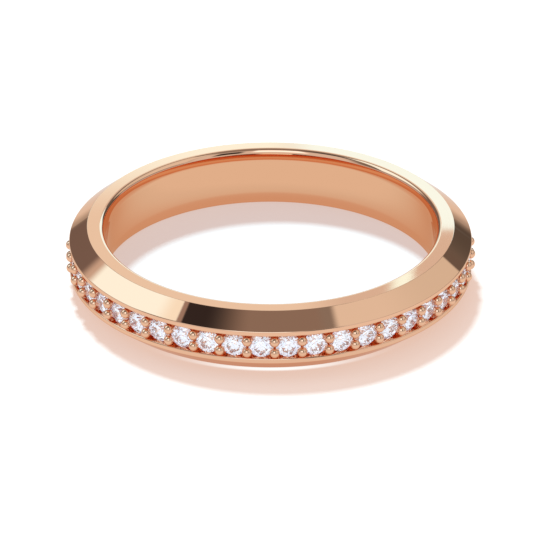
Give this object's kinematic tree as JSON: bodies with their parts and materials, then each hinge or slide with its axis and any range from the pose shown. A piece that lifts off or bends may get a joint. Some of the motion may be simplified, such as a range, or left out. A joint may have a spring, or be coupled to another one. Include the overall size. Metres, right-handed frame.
{
  "type": "wedding band",
  "caption": "Knife-edge finger ring in rose gold with round brilliants set between shared beads in a channel along half of its ridge.",
  "frame": {"origin": "on the axis of the finger hole, at the middle of the band's width", "axes": "+Z along the finger hole's axis; the row of stones is centred on -Y; the band is mirrored about X = 0 and about Z = 0"},
  "size_m": [0.0206, 0.0204, 0.0032],
  "materials": {
    "rose_gold": "polished",
    "diamond": "polished"
  },
  "bodies": {
    "root": {"band": "rose_gold", "diamond_01": "diamond", "diamond_02": "diamond", "diamond_03": "diamond", "diamond_04": "diamond", "diamond_05": "diamond", "diamond_06": "diamond", "diamond_07": "diamond", "diamond_08": "diamond", "diamond_09": "diamond", "diamond_10": "diamond", "diamond_11": "diamond", "diamond_12": "diamond", "diamond_13": "diamond", "diamond_14": "diamond", "diamond_15": "diamond", "diamond_16": "diamond", "diamond_17": "diamond", "diamond_18": "diamond", "diamond_19": "diamond", "diamond_20": "diamond", "diamond_21": "diamond", "diamond_22": "diamond", "diamond_23": "diamond", "diamond_24": "diamond"}
  },
  "joints": []
}
